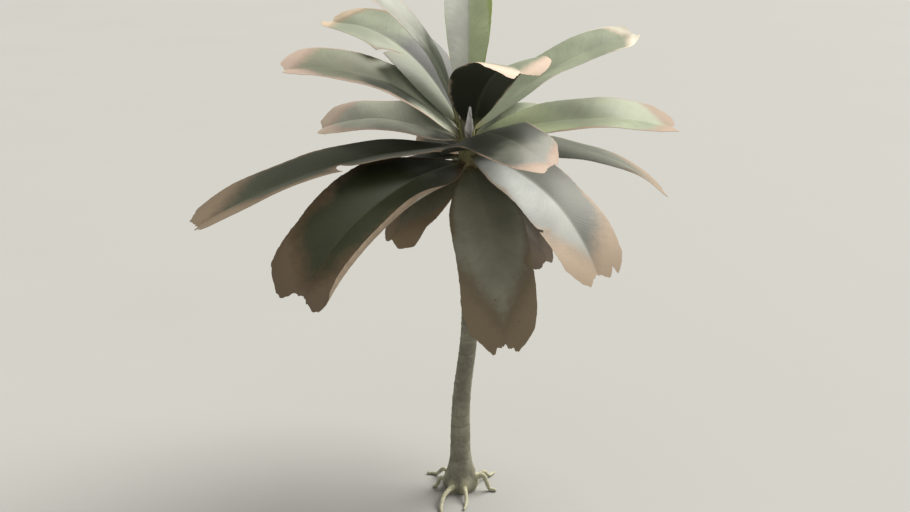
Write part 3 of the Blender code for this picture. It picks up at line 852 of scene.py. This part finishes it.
BROWN_FACE = (0.120, 0.098, 0.064)
BROWN_UNDER = (0.085, 0.066, 0.042)
BROWN_MARGIN = (0.170, 0.122, 0.076)
BROWN_EDGE = (0.260, 0.190, 0.120)
HANGING = {
    # hanging_leaf_1: painted lighter near its stalk: painted light.
    "hanging_leaf_1": (
        leaf(283, 1.122, -8, 68, 0.67, 0.230, late=0.8, fold=-6, arch=0.05, taper=0.52),
        wear((0.250, 0.246, 0.184), BROWN_UNDER, dry=0.034, tip=0.46, margin=(0.158, 0.124, 0.080),
             edge=(0.205, 0.158, 0.098), clefts=[(-0.30, 0.02, 0.15), (0.35, 0.012, 0.10)], specks=0.8,
             worn=0.5, patches=[(0, -1.0, 0.30, (0.310, 0.306, 0.230))]),
    ),
    "hanging_leaf_2": (
        leaf(207, 1.110, -22, 46, 0.33, 0.225, fold=-5),
        wear((0.165, 0.156, 0.112), BROWN_UNDER, dry=0.035, tip=0.50, margin=(0.220, 0.163, 0.100),
             edge=BROWN_EDGE),
    ),
    # hanging_leaf_3: its face and margins are partly its own brown and partly painted shade.
    "hanging_leaf_3": (
        leaf(326, 1.098, -28, 38, 0.375, 0.200, fold=-8),
        wear((0.080, 0.064, 0.044), BROWN_UNDER, dry=0.040, tip=0.60, margin=(0.070, 0.050, 0.034),
             edge=(0.110, 0.080, 0.054)),
    ),
    "hanging_leaf_4": (
        leaf(78, 1.132, -14, 52, 0.54, 0.210),
        wear(BROWN_FACE, BROWN_UNDER, dry=0.030, tip=0.35, margin=BROWN_MARGIN,
             tears=[(-1, 0.66, 0.5, 0.010)]),
    ),
    "hanging_leaf_5": (
        leaf(118, 1.112, -20, 36, 0.42, 0.200, fold=-5),
        wear(BROWN_FACE, BROWN_UNDER, dry=0.035, tip=0.50, margin=BROWN_MARGIN, edge=BROWN_EDGE),
    ),
    "hanging_leaf_6": (
        leaf(20, 1.114, -26, 40, 0.38, 0.180, fold=-5),
        wear(BROWN_FACE, BROWN_UNDER, dry=0.035, tip=0.45, margin=BROWN_MARGIN, edge=BROWN_EDGE),
    ),
}
for number, (name, (spec, look)) in enumerate(HANGING.items()):
    dress_leaf(name, spec, look, 100 + 20 * number)

# ---------------------------------------------------------------- drooping leaves
# Full-grown leaves that have bent down under their own weight: darker green, partly their own colour and
# partly painted shade from the crown above, with tan margins that have begun to curl, and slits where the
# wind has torn them along the veins.

DEEP_GREEN = (0.062, 0.070, 0.045)
# The undersides' green is painted darker: painted shade for the shade under the leaves.
DEEP_UNDER_AND_PAINTED_SHADE = (0.050, 0.052, 0.034)
TAN = (0.220, 0.165, 0.110)
PALE_TAN = (0.400, 0.310, 0.225)
DROOPING = {
    # drooping_leaf_1: its own dark green, painted darker still for the crown's shade, with painted light on
    # its half at positive u by the stalk.
    "drooping_leaf_1": (
        leaf(200, 1.188, 0, 31, 0.87, 0.235, roll=-2, opened=0.32, notch=0.015, corner=0.05),
        wear((0.063, 0.071, 0.042), DEEP_UNDER_AND_PAINTED_SHADE, dry=0.050, tip=0.30, margin=(0.180, 0.134, 0.088),
             edge=(0.250, 0.190, 0.130), tears=[(1, 0.455, 0.97, 0.030)], clefts=[(0.45, 0.015, 0.2)],
             worn=0.9, slant=0.02, sides=(0.25, 1.0), patches=[(1, -1.0, 0.34, (0.100, 0.104, 0.084))]),
    ),
    # drooping_leaf_2: painted very dark for the crown's shade, painted lighter by its stalk, and its
    # underside and curled margin painted pale for the light on them.
    "drooping_leaf_2": (
        leaf(226, 1.137, -1, 61, 0.76, 0.316, roll=-12, sway=-9, taper=0.12),
        wear((0.033, 0.039, 0.017), (0.520, 0.510, 0.450), dry=0.070, tip=0.30, margin=(0.110, 0.076, 0.042),
             edge=(0.165, 0.120, 0.078), curls=[(1, 0.12, 1.15, 0.68, 108)], clefts=[(-0.2, 0.02, 0.12)],
             worn=0.75, sides=(1.0, 1.7), under_margin=(0.340, 0.258, 0.184),
             under_edge=(0.420, 0.325, 0.240), patches=[(0, -1.0, 0.24, (0.105, 0.108, 0.088))]),
    ),
    # drooping_leaf_3: the bluish-white patch over its upper stretch is painted sheen, the darker patch on
    # its half at positive u painted shade.
    "drooping_leaf_3": (
        leaf(312, 1.160, 2, 66, 0.65, 0.236, late=1.2, roll=8, fold=8),
        wear((0.240, 0.250, 0.234), DEEP_UNDER_AND_PAINTED_SHADE, dry=0.034, tip=0.34, margin=(0.300, 0.232, 0.172),
             edge=(0.370, 0.285, 0.208), gloss=0.46, tears=[(-1, 0.62, 0.24, 0.012)],
             clefts=[(0.55, 0.045, 0.14)], worn=0.4, sides=(0.8, 0.5),
             patches=[(0, 0.10, 0.60, (0.330, 0.346, 0.334)), (1, 0.15, 0.85, (0.125, 0.130, 0.112))]),
    ),
    # drooping_leaf_4: its half at negative u is painted lighter, painted light against the shadow of the
    # leaf above.
    "drooping_leaf_4": (
        leaf(13, 1.166, 6, 52, 0.69, 0.185, roll=8, opened=0.36, fold=6, notch=0.0),
        wear((0.120, 0.130, 0.094), DEEP_UNDER_AND_PAINTED_SHADE, dry=0.026, tip=0.36, margin=(0.210, 0.160, 0.115),
             edge=(0.270, 0.208, 0.150), worn=0.3, sides=(1.0, 0.3),
             patches=[(-1, -1.0, 2.0, (0.250, 0.268, 0.200))]),
    ),
    "drooping_leaf_5": (
        leaf(57, 1.152, -3, 56, 0.52, 0.210),
        wear(DEEP_GREEN, DEEP_UNDER_AND_PAINTED_SHADE, dry=0.030, tip=0.20, margin=TAN, edge=PALE_TAN, worn=0.5),
    ),
    "drooping_leaf_6": (
        leaf(98, 1.165, 5, 50, 0.60, 0.225),
        wear(DEEP_GREEN, DEEP_UNDER_AND_PAINTED_SHADE, dry=0.034, tip=0.18, margin=TAN, edge=PALE_TAN, worn=0.5,
             tears=[(1, 0.62, 0.45, 0.012)], curls=[(-1, 0.35, 0.9, 0.8, 80)]),
    ),
    "drooping_leaf_7": (
        leaf(158, 1.150, -10, 52, 0.56, 0.220),
        wear(DEEP_GREEN, DEEP_UNDER_AND_PAINTED_SHADE, dry=0.036, tip=0.24, margin=TAN, edge=PALE_TAN, worn=0.6),
    ),
}
for number, (name, (spec, look)) in enumerate(DROOPING.items()):
    dress_leaf(name, spec, look, 300 + 20 * number)

# ---------------------------------------------------------------- spreading leaves
# Leaves in their prime that stand out level from the stem: sage green and waxy, with narrow pink-tan
# margins that widen to a cream tip.

SAGE = (0.215, 0.250, 0.165)
# The undersides' green is painted darker: painted shade for the shade under the leaves.
SAGE_UNDER_AND_PAINTED_SHADE = (0.060, 0.068, 0.044)
SPREADING = {
    # spreading_leaf_1: painted dark over most of its length for the shadow of the leaves above, lighter only
    # at its end.
    "spreading_leaf_1": (
        leaf(280, 1.184, 33, 70, 0.52, 0.225, roll=18, twist=-10, sway=60, opened=0.12, fold=4, notch=0.02),
        wear((0.140, 0.147, 0.118), SAGE_UNDER_AND_PAINTED_SHADE, dry=0.022, tip=0.14, margin=(0.300, 0.216, 0.165),
             edge=(0.380, 0.282, 0.222), worn=0.2, sides=(0.4, 0.3),
             patches=[(0, -1.0, 0.76, (0.034, 0.038, 0.027))]),
    ),
    # spreading_leaf_2: painted lighter near its foot, painted light against the shadow of the leaves above.
    "spreading_leaf_2": (
        leaf(8, 1.208, 14, 31, 0.65, 0.210, roll=16, notch=0.0, corner=0.10),
        wear((0.275, 0.312, 0.208), SAGE_UNDER_AND_PAINTED_SHADE, dry=0.020, tip=0.17, margin=(0.290, 0.218, 0.158),
             edge=(0.325, 0.240, 0.178), worn=0.6, sides=(1.0, 0.15),
             patches=[(0, 0.08, 0.38, (0.480, 0.550, 0.320))]),
    ),
    # spreading_leaf_3: its face and margins are painted pale, painted light against the crown's shadow on
    # it; its half at positive u has painted shade by the foot.
    "spreading_leaf_3": (
        leaf(166, 1.206, 19, 44, 0.47, 0.190, roll=-20, notch=0.0, corner=0.08),
        wear((0.560, 0.580, 0.480), SAGE_UNDER_AND_PAINTED_SHADE, dry=0.030, tip=0.26, margin=(0.680, 0.530, 0.450),
             edge=(0.760, 0.620, 0.500), worn=0.95, sides=(0.2, 1.0),
             patches=[(1, -1.0, 0.26, (0.085, 0.100, 0.060)), (-1, -1.0, 0.60, (0.700, 0.735, 0.600))]),
    ),
    "spreading_leaf_4": (
        leaf(50, 1.185, 16, 38, 0.56, 0.210),
        wear(SAGE, SAGE_UNDER_AND_PAINTED_SHADE, dry=0.018, tip=0.14, worn=0.2),
    ),
    "spreading_leaf_5": (
        leaf(128, 1.188, 18, 44, 0.54, 0.210),
        wear(SAGE, SAGE_UNDER_AND_PAINTED_SHADE, dry=0.020, tip=0.16, tears=[(1, 0.55, 0.4, 0.010)], worn=0.3),
    ),
}
for number, (name, (spec, look)) in enumerate(SPREADING.items()):
    dress_leaf(name, spec, look, 500 + 20 * number)

# ---------------------------------------------------------------- rising leaves
# Younger leaves that rise and then arch over. Their ends have dried cream and rolled over in the sun.

RISING = {
    # rising_leaf_1: painted shade on its half at positive u, painted light by its foot and on its half at
    # negative u.
    "rising_leaf_1": (
        leaf(190, 1.222, 45, 56, 0.60, 0.210, roll=-22, twist=8, notch=0.0, corner=0.08),
        wear((0.258, 0.272, 0.188), SAGE_UNDER_AND_PAINTED_SHADE, dry=0.030, tip=0.20, margin=(0.450, 0.345, 0.275),
             edge=(0.540, 0.420, 0.345), worn=0.8, sides=(0.2, 1.0),
             patches=[(1, 0.24, 0.56, (0.075, 0.090, 0.055)), (0, -1.0, 0.27, (0.700, 0.740, 0.600)),
                      (-1, 0.15, 0.48, (0.580, 0.620, 0.480))]),
    ),
    # rising_leaf_2: its half at negative u is painted lavender grey, a painted reflection of the sky.
    "rising_leaf_2": (
        leaf(150, 1.250, 58, 68, 0.59, 0.240, roll=-10, notch=0.0, corner=0.07),
        wear((0.262, 0.292, 0.214), SAGE_UNDER_AND_PAINTED_SHADE, dry=0.018, tip=0.15, tears=[(1, 0.44, 0.70, 0.026)],
             worn=0.15, edge=(0.440, 0.350, 0.255), margin=(0.300, 0.240, 0.165), tip_bend=(0.84, -22),
             patches=[(-1, -1.0, 0.58, (0.110, 0.114, 0.112))]),
    ),
    "rising_leaf_3": (
        leaf(18, 1.238, 40, 34, 0.60, 0.190, twist=16, notch=0.0, corner=0.08),
        wear((0.280, 0.314, 0.222), (0.180, 0.170, 0.175), dry=0.016, tip=0.12, margin=(0.620, 0.540, 0.430),
             edge=(0.860, 0.800, 0.680), tip_bend=(0.84, -30), worn=0.1, sides=(0.6, 0.2)),
    ),
    # rising_leaf_4: its underside is painted very dark, painted shade under the arching leaf.
    "rising_leaf_4": (
        leaf(292, 1.252, 62, 78, 0.48, 0.230),
        wear((0.240, 0.270, 0.190), (0.026, 0.031, 0.018), dry=0.022, tip=0.20, margin=(0.520, 0.410, 0.320),
             edge=(0.640, 0.500, 0.400), tip_bend=(0.80, 30), worn=0.25),
    ),
    "rising_leaf_5": (
        leaf(70, 1.207, 30, 40, 0.48, 0.200),
        wear(SAGE, SAGE_UNDER_AND_PAINTED_SHADE, dry=0.016, tip=0.14, worn=0.2),
    ),
    "rising_leaf_6": (
        leaf(113, 1.226, 36, 42, 0.52, 0.200),
        wear(SAGE, SAGE_UNDER_AND_PAINTED_SHADE, dry=0.016, tip=0.14, worn=0.2),
    ),
}
for number, (name, (spec, look)) in enumerate(RISING.items()):
    dress_leaf(name, spec, look, 700 + 20 * number)

# ---------------------------------------------------------------- upright leaves
# The two youngest open leaves, in the heart of the crown: narrower and still folded along the rib. The first
# has its inner face painted whitish for the light on it; the second is painted dark near its foot for shade.

UPRIGHT = {
    # upright_leaf_1: the face is painted whitish for the light on it, its half at negative u painted greener
    # for shade, and its yellow-green margin painted for light shining through.
    "upright_leaf_1": (
        leaf(88, 1.265, 80, 10, 0.60, 0.165, fold=28, opened=0.60),
        wear((0.820, 0.830, 0.790), (0.150, 0.170, 0.110), dry=0.020, tip=0.06, wave=0.004, worn=0.7,
             margin=(0.440, 0.540, 0.200), edge=(0.500, 0.600, 0.220), sides=(1.0, 0.1),
             patches=[(-1, -1.0, 2.0, (0.640, 0.730, 0.470))]),
    ),
    # upright_leaf_2: painted dark up to near its middle for the shadow of upright_leaf_1, its underside
    # painted dark for shade.
    "upright_leaf_2": (
        leaf(186, 1.270, 75, 66, 0.62, 0.170, roll=-14, fold=10, opened=0.55),
        wear((0.270, 0.280, 0.245), (0.045, 0.052, 0.032), dry=0.014, tip=0.16, worn=0.2,
             margin=(0.340, 0.270, 0.240), patches=[(0, -1.0, 0.42, (0.045, 0.055, 0.033))]),
    ),
}
for number, (name, (spec, look)) in enumerate(UPRIGHT.items()):
    dress_leaf(name, spec, look, 900 + 20 * number)

# ---------------------------------------------------------------- leaf sheaths
# The foot of every leaf is a fibrous sheath that clasps the stem under its stalk: olive on the young leaves,
# brown and dry on the old ones. Each is a sheet bent round the stem and drawn in to the stalk at its top.

SHEATH_HEIGHT = 0.080
SHEATH_ABOVE_FOOT = 0.003
SHEATH_HOLD = 1.30  # radians to either side, at its lower edge
SHEATH_THICKNESS = 0.0016
SHEATH_ROWS = 40
SHEATH_COLUMNS = 36
SHEATH_RAGGED = 0.004  # how far its lower edge runs up and down
SHEATH_UNEVEN = 0.05  # share of its hold
SHEATH_OFF = 0.0010  # it stands this far off the stem at its lower edge,
SHEATH_LEAN = 0.0036  # this much more at its upper edge,
SHEATH_BULGE = 0.0020  # this much more in the middle of that,
SHEATH_FLARE = 0.010  # and this much more again where it opens round the stalk
SHEATH_FLARE_FROM = 0.8
SHEATH_RIPPLE = 0.0004
SHEATH_OLDEST = 1.10  # foot heights of the oldest leaves, with brown sheaths,
SHEATH_YOUNGEST = 1.24  # and of the youngest, with olive ones
SHEATH_YOUNG = (0.330, 0.320, 0.135)
SHEATH_OLD = (0.220, 0.160, 0.092)
SHEATH_PALE = (0.360, 0.330, 0.215)
SHEATH_SHADE = (0.060, 0.050, 0.028)


def wrap_sheath(spec, seed, u, s):
    """A point of one sheath's outer face, at u across it, from -1 to 1, and s up it, from 0 to 1."""
    z = spec["foot"] - SHEATH_HEIGHT * (1 - s) + SHEATH_ABOVE_FOOT
    z = z + SHEATH_RAGGED * (1 - s) * wobble(u, seed, 2.3)
    radius = stem_radius(z)
    stalk = PETIOLE_WIDTH / 2 / radius
    hold = stalk + (SHEATH_HOLD - stalk) * (1 - s) ** 1.4
    hold = hold * (1 + SHEATH_UNEVEN * (1 - s) * s * 4 * wobble(s, seed + 1, 3.1))
    angle = math.radians(spec["azimuth"]) + u * hold
    flared = np.maximum(0.0, s - SHEATH_FLARE_FROM) / (1 - SHEATH_FLARE_FROM)
    lift = SHEATH_OFF + SHEATH_LEAN * s + SHEATH_BULGE * s * (1 - u * u) + SHEATH_FLARE * flared**2
    lift += SHEATH_RIPPLE * s * wobble(u, seed + 2, 2.1, 2)
    spoke = np.stack((np.cos(angle), np.sin(angle), angle * 0.0), axis=-1)
    return stem_centre(z) + spoke * (radius + lift)[:, None]


def sheath_finish():
    """Coarse lengthwise fibres, olive to brown with age, paler at the sheath's torn margins."""
    finish = Finish("sheath_fibre", Specular_IOR_Level=0.3)
    across, up, age = finish.mark("sheath")
    laid_out = finish.together(across, up, age)
    fibres = finish.cloud(finish.place(stretch=(26.0, 1.2, 7.0), of=laid_out), 1.0, detail=4.0)
    mottle = finish.cloud(finish.place(), 60.0, detail=4.0)
    colour = finish.blend(finish.ease(age, 0.0, 1.0), SHEATH_YOUNG, SHEATH_OLD)
    colour = finish.blend(finish.ease(mottle, 0.45, 0.70, 0.0, 0.55), colour, SHEATH_PALE)
    colour = finish.blend(finish.ease(fibres, 0.32, 0.56, 0.60, 0.0), colour, SHEATH_SHADE)
    margin = finish.reckon("ABSOLUTE", across)
    colour = finish.blend(finish.ease(margin, 0.80, 1.0, 0.0, 0.60), colour, SHEATH_PALE)
    return finish.done(colour, finish.ease(mottle, 0.3, 0.7, 0.6, 0.8), finish.bump(fibres, 0.0010, 0.8))


bm = bmesh.new()
layer = bm.verts.layers.float_vector.new("sheath")
leaves = {**HANGING, **DROOPING, **SPREADING, **RISING, **UPRIGHT}
for number, (spec, look) in enumerate(leaves.values()):
    made = bmesh.ops.create_grid(bm, x_segments=SHEATH_COLUMNS, y_segments=SHEATH_ROWS, size=0.5)["verts"]
    grid = np.array([vert.co for vert in made], float)
    u, s = grid[:, 0] * 2, grid[:, 1] + 0.5
    age = 1.0 - smooth_step((spec["foot"] - SHEATH_OLDEST) / (SHEATH_YOUNGEST - SHEATH_OLDEST))
    for vert, point, across, up in zip(made, wrap_sheath(spec, 1100 + 5 * number, u, s), u, s):
        vert.co = point
        vert[layer] = (across, up, age)
sheaths = finished_mesh("leaf_sheaths", bm)
wall = sheaths.modifiers.new("wall", "SOLIDIFY")
wall.thickness = SHEATH_THICKNESS
wall.offset = -1.0
sheaths.data.materials.append(sheath_finish())
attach(sheaths, "root")

# ---------------------------------------------------------------- rolled leaves
# The newest leaves, still rolled to a point: the tall spear on the stem's end and a small one in front. Each
# is a round skin whose free margin winds up it as a raised edge.

ROLL_RINGS = 110
ROLL_SIDES = 30
ROLL_TURNS = 1.6  # how often the free margin winds round
ROLL_STEP = 0.16  # how far the free margin stands up, as a share of the radius
ROLL_RIBS = 9
ROLL_RIB_HEIGHT = 0.025
ROLL_SHARES = (0.0, 0.3, 1.0)  # of its length,
ROLL_RADII = (0.75, 1.0, 0.25)  # and its radius there as a share of its greatest
ROLL_TIP = 0.05  # the share of its length that rounds off
ROLL_SAMPLES = 61
# Partly the unopened leaf's own pale colour, partly painted light: made paler still against the crown's
# shade on it.
ROLLED_COLOUR_AND_PAINTED_LIGHT = (0.820, 0.810, 0.800)
ROLLED_PALE_AND_PAINTED_LIGHT = (0.930, 0.900, 0.930)
ROLLED_EDGE = (0.200, 0.215, 0.120)
ROLLED = {
    "spear_leaf": dict(azimuth=150, foot=STEM_TOP, rise=90, length=0.15, radius=0.0120, bend=8),
    "young_leaf": dict(azimuth=274, foot=1.222, rise=50, length=0.12, radius=0.0135, bend=22),
}


def wrap_rolled(spec):
    """The function that wraps a rolled leaf's skin round its bent middle line."""
    heading = math.radians(spec["azimuth"])
    away = np.array((math.cos(heading), math.sin(heading), 0.0))
    beside = np.array((-math.sin(heading), math.cos(heading), 0.0))
    stations = np.linspace(0.0, 1.0, ROLL_SAMPLES)
    slopes = np.radians(spec["rise"] + spec["bend"] * stations)
    steps = away * np.cos(slopes)[:, None] + np.array((0.0, 0.0, 1.0)) * np.sin(slopes)[:, None]
    first = stem_centre(spec["foot"])
    if spec["foot"] < STEM_TOP:
        lean = ROLL_RADII[0] * spec["radius"] * math.sin(slopes[0])
        first = first + away * (stem_radius(spec["foot"]) + CLEARANCE + lean)
    steps *= spec["length"] / (ROLL_SAMPLES - 1)
    line = first + np.cumsum(steps, axis=0) - steps[0]

    def wrap(share, angle):
        slope = np.radians(spec["rise"] + spec["bend"] * share)[:, None]
        middle = np.stack([np.interp(share, stations, line[:, k]) for k in range(3)], axis=-1)
        out = away * -np.sin(slope) + np.array((0.0, 0.0, 1.0)) * np.cos(slope)
        radius = spec["radius"] * np.interp(share, ROLL_SHARES, ROLL_RADII)
        winding = (angle / (2 * math.pi) + share * ROLL_TURNS) % 1.0
        step = 1.0 + ROLL_STEP * (winding - 0.5)
        ribs = 1.0 + ROLL_RIB_HEIGHT * np.cos(angle * ROLL_RIBS + share * ROLL_TURNS * 2 * math.pi * 2)
        into_tip = np.maximum(share - (1.0 - ROLL_TIP), 0.0) / ROLL_TIP
        closing = np.sqrt(np.clip(1.0 - into_tip**2, 0.01, 1.0))
        round_way = beside * np.cos(angle)[:, None] + out * np.sin(angle)[:, None]
        skin = middle + round_way * (radius * step * ribs * closing)[:, None]
        edge = np.exp(-((np.minimum(winding, 1 - winding) / 0.05) ** 2))
        return skin, np.stack((share, edge, winding), axis=-1)

    return wrap


def rolled_finish():
    """Pale, waxy skin of an unopened leaf, painted paler still against the crown's shade, greener along its
    free margin.
    """
    finish = Finish("rolled_skin", Specular_IOR_Level=0.5, Coat_Weight=0.1, Coat_Roughness=0.4)
    share, edge, winding = finish.mark("roll")
    cloud = finish.cloud(finish.place(), 40.0, detail=3.0)
    grain = finish.cloud(finish.place(stretch=(1.0, 1.0, 0.08)), 420.0)
    colour = finish.blend(finish.ease(cloud, 0.35, 0.65), ROLLED_COLOUR_AND_PAINTED_LIGHT, ROLLED_PALE_AND_PAINTED_LIGHT)
    colour = finish.blend(finish.ease(edge, 0.2, 1.0, 0.0, 0.7), colour, ROLLED_EDGE)
    colour = finish.blend(finish.ease(share, 0.0, 0.25, 0.6, 0.0), colour, ROLLED_EDGE)
    return finish.done(colour, finish.ease(cloud, 0.3, 0.7, 0.42, 0.55), finish.bump(grain, 0.0006, 0.6))


rolled_skin = rolled_finish()
for name, spec in ROLLED.items():
    piece = round_skin(name + "_skin", ROLL_RINGS, ROLL_SIDES, wrap_rolled(spec), "roll")
    piece.data.materials.append(rolled_skin)
    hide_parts(name)
    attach(piece, "root")

# ---------------------------------------------------------------- floor, light and camera
# A pale floor of matt paint, one very soft light from above and behind on the right, an even pale sky, and
# a camera that looks a little down on the plant.

FLOOR_SIZE = 60.0
FLOOR_DROP = 0.0005  # below the ground, clear of what lies on it
FLOOR_COLOUR = (0.37, 0.37, 0.36)
SKY_COLOUR = (0.72, 0.71, 0.66)
SKY_STRENGTH = 0.62
KEY_AZIMUTH = 34.0
KEY_ELEVATION = 50.0
KEY_SOFTNESS = 50.0  # degrees across
KEY_STRENGTH = 5.6
KEY_COLOUR = (1.0, 0.97, 0.90)
CAMERA_PLACE = (-0.020, -3.842, 2.073)
CAMERA_ELEVATION = 18.0
LENS = 50.0
SENSOR = 36.0


def floor_finish():
    """Matt pale paint, faintly uneven."""
    finish = Finish("floor_paint", Specular_IOR_Level=0.2)
    cloud = finish.cloud(finish.place(), 0.8, detail=3.0)
    shade = tuple(channel * 0.95 for channel in FLOOR_COLOUR)
    colour = finish.blend(cloud, shade, FLOOR_COLOUR)
    grain = finish.cloud(finish.place(), 90.0)
    return finish.done(colour, finish.ease(cloud, 0.3, 0.7, 0.75, 0.9), finish.bump(grain, 0.001, 0.2))


bm = bmesh.new()
bmesh.ops.create_grid(bm, x_segments=1, y_segments=1, size=FLOOR_SIZE / 2)
bmesh.ops.translate(bm, verts=bm.verts, vec=(0.0, 0.0, -FLOOR_DROP))
floor = finished_mesh("floor", bm)
floor.data.materials.append(floor_finish())

sun = bpy.data.lights.new("key", "SUN")
sun.energy = KEY_STRENGTH
sun.angle = math.radians(KEY_SOFTNESS)
sun.color = KEY_COLOUR
around, up = math.radians(KEY_AZIMUTH), math.radians(KEY_ELEVATION)
towards = Vector((math.cos(up) * math.cos(around), math.cos(up) * math.sin(around), math.sin(up)))
key = bpy.data.objects.new("key", sun)
key.rotation_euler = towards.to_track_quat("Z", "Y").to_euler()
bpy.context.scene.collection.objects.link(key)

world = bpy.data.worlds.new("sky")
world.use_nodes = True
world.node_tree.nodes["Background"].inputs["Color"].default_value = (*SKY_COLOUR, 1.0)
world.node_tree.nodes["Background"].inputs["Strength"].default_value = SKY_STRENGTH
bpy.context.scene.world = world
bpy.context.scene.view_settings.view_transform = "Standard"

lens = bpy.data.cameras.new("camera")
lens.lens = LENS
lens.sensor_width = SENSOR
camera = bpy.data.objects.new("camera", lens)
camera.location = CAMERA_PLACE
camera.rotation_euler = (math.radians(90.0 - CAMERA_ELEVATION), 0.0, 0.0)
bpy.context.scene.collection.objects.link(camera)
bpy.context.scene.camera = camera
